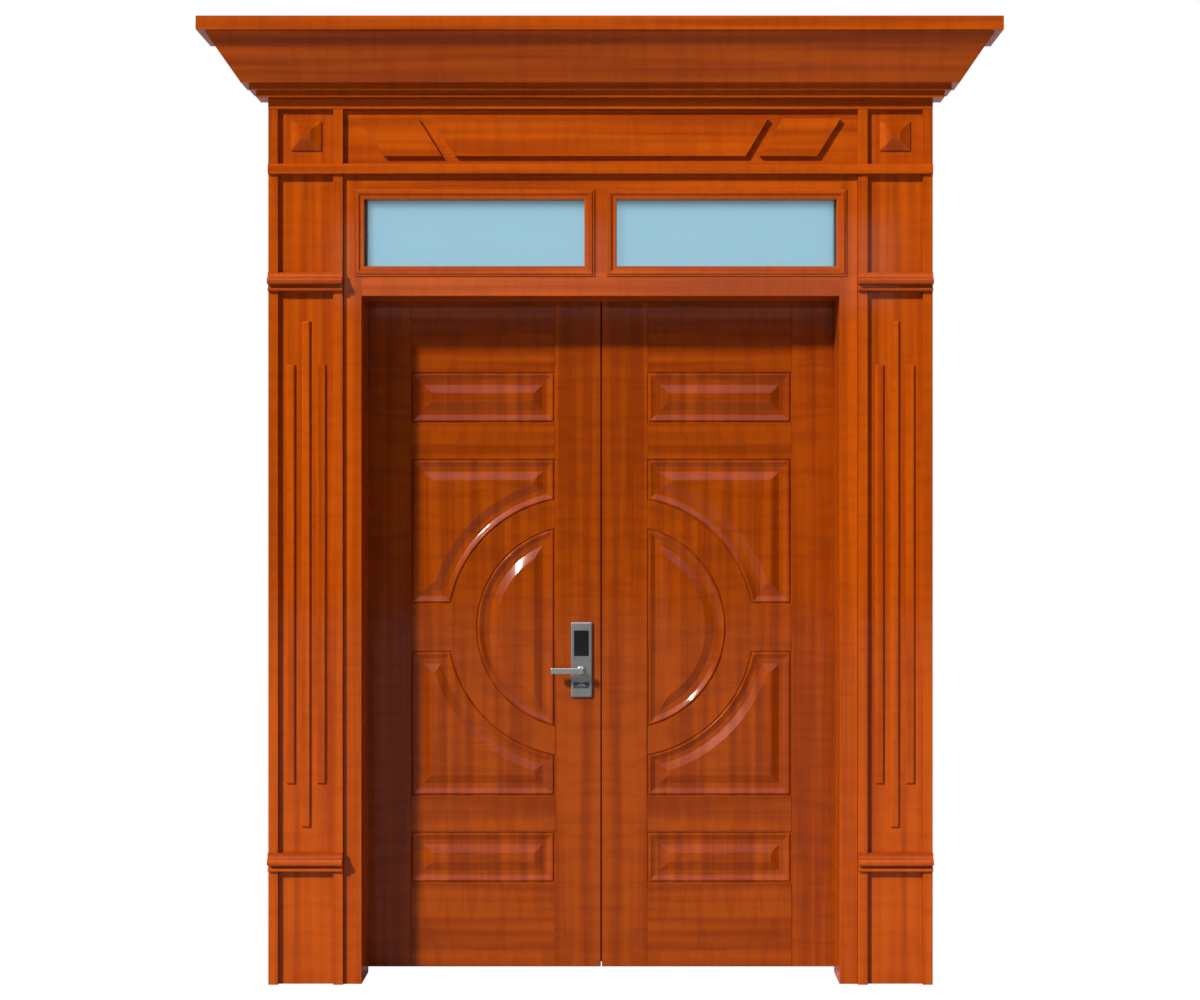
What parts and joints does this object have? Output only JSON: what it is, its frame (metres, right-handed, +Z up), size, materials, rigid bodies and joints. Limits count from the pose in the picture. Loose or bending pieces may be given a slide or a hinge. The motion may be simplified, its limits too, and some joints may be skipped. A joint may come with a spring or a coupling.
{
  "type": "double-leaf steel entrance door set",
  "caption": "Double-leaf wood-grain steel entrance door with frame, transom lights, reeded pilasters, frieze, wide cornice and an electronic lever lock.",
  "frame": {"origin": "on the floor, midway between the leaves, in the plane of the wall's outer face", "axes": "+X to the right seen from outside, +Y into the building, +Z up"},
  "size_m": [2.559, 0.527, 3.1085],
  "materials": {
    "wood_grain_steel": "glossy wood-grain transfer coat on sheet steel",
    "glass": "flat clear pane",
    "rubber": "matte seal rubber",
    "lock_metal": "satin plated zinc",
    "steel": "bright zinc plated steel",
    "brass": "turned brass",
    "black_gloss": "black glossy reader window",
    "core_board": "paper honeycomb board",
    "cell_wrap": "plain dry cell sleeve"
  },
  "bodies": {
    "frame": {"jamb_left": "wood_grain_steel", "jamb_right": "wood_grain_steel", "transom_bar": "wood_grain_steel", "frame_head": "wood_grain_steel", "mullion": "wood_grain_steel", "window_moulding_left": "wood_grain_steel", "window_moulding_right": "wood_grain_steel", "window_glass": "glass", "window_gaskets": "rubber", "window_beads": "wood_grain_steel", "pilaster_left": "wood_grain_steel", "pilaster_right": "wood_grain_steel", "reeds": "wood_grain_steel", "pilaster_mouldings_left": "wood_grain_steel", "pilaster_mouldings_right": "wood_grain_steel", "corner_blocks": "wood_grain_steel", "corner_bosses": "wood_grain_steel", "band": "wood_grain_steel", "frieze_panel": "wood_grain_steel", "frieze_raised_panels": "wood_grain_steel", "top_rail": "wood_grain_steel", "cornice_front": "wood_grain_steel", "cornice_returns": "wood_grain_steel", "cornice_top": "wood_grain_steel", "cornice_brackets": "steel", "wall_lugs": "steel", "casing_clips": "steel", "stop_seal": "rubber", "bolt_keeper": "steel", "hinge_plates_frame": "steel", "hinge_pins": "steel"},
    "leaf_left": {"skin_outer_left": "wood_grain_steel", "skin_inner_left": "wood_grain_steel", "core_left": "core_board", "channels_left": "wood_grain_steel", "hinge_plates_left": "steel", "lock_case": "steel", "lock_plate_outer": "lock_metal", "reader_window": "black_gloss", "key_cylinder": "brass", "lock_plate_inner": "lock_metal", "battery_cells": "cell_wrap", "lock_screws": "steel"},
    "leaf_right": {"skin_outer_right": "wood_grain_steel", "skin_inner_right": "wood_grain_steel", "core_right": "core_board", "channels_right": "wood_grain_steel", "hinge_plates_right": "steel", "strike_plate": "steel", "meeting_seal": "rubber", "flush_bolt_bodies": "steel"},
    "lever_outer": {"lever_outer": "lock_metal"},
    "lever_inner": {"lever_inner": "lock_metal"},
    "key_cover": {"key_cover": "lock_metal"},
    "latch_bolt": {"latch_bolt": "steel"},
    "dead_bolt": {"dead_bolt": "steel"},
    "thumbturn": {"thumbturn": "lock_metal"},
    "battery_cover": {"battery_cover": "lock_metal"},
    "flush_bolt_upper": {"flush_bolt_upper": "steel"},
    "flush_bolt_lower": {"flush_bolt_lower": "steel"}
  },
  "joints": [
    {"name": "leaf_left_swing", "type": "hinge", "parent": "frame", "child": "leaf_left", "pos_m": [-0.792, 0.209, 1.13], "axis": [0, 0, 1], "range_deg": [0, 110]},
    {"name": "leaf_right_swing", "type": "hinge", "parent": "frame", "child": "leaf_right", "pos_m": [0.792, 0.209, 1.13], "axis": [0, 0, -1], "range_deg": [0, 110]},
    {"name": "outer_lever_turn", "type": "hinge", "parent": "leaf_left", "child": "lever_outer", "pos_m": [-0.068, 0.139, 1.01], "axis": [0, -1, 0], "range_deg": [0, 45], "stiffness_Nm_per_rad": 0.8, "springref_deg": -45.84},
    {"name": "inner_lever_turn", "type": "hinge", "parent": "leaf_left", "child": "lever_inner", "pos_m": [-0.068, 0.223, 1.01], "axis": [0, -1, 0], "range_deg": [0, 45], "stiffness_Nm_per_rad": 0.8, "springref_deg": -45.84},
    {"name": "key_cover_turn", "type": "hinge", "parent": "leaf_left", "child": "key_cover", "pos_m": [-0.0795, 0.138, 0.96], "axis": [0, 1, 0], "range_deg": [0, 80]},
    {"name": "latch_slide", "type": "slide", "parent": "leaf_left", "child": "latch_bolt", "axis": [1, 0, 0], "range_m": [0, 0.012]},
    {"name": "dead_bolt_slide", "type": "slide", "parent": "leaf_left", "child": "dead_bolt", "axis": [1, 0, 0], "range_m": [0, 0.02]},
    {"name": "thumbturn_turn", "type": "hinge", "parent": "leaf_left", "child": "thumbturn", "pos_m": [-0.066, 0.223, 0.96], "axis": [0, -1, 0], "range_deg": [0, 90.5]},
    {"name": "battery_cover_slide", "type": "slide", "parent": "leaf_left", "child": "battery_cover", "axis": [0, 0, 1], "range_m": [0, 0.018]},
    {"name": "upper_bolt_slide", "type": "slide", "parent": "leaf_right", "child": "flush_bolt_upper", "axis": [0, 0, 1], "range_m": [0, 0.018]},
    {"name": "lower_bolt_slide", "type": "slide", "parent": "leaf_right", "child": "flush_bolt_lower", "axis": [0, 0, -1], "range_m": [0, 0.018]}
  ],
  "couplings": [
    {"joint": "thumbturn_turn", "follows": "dead_bolt_slide", "rad_per_m": 78.5}
  ]
}
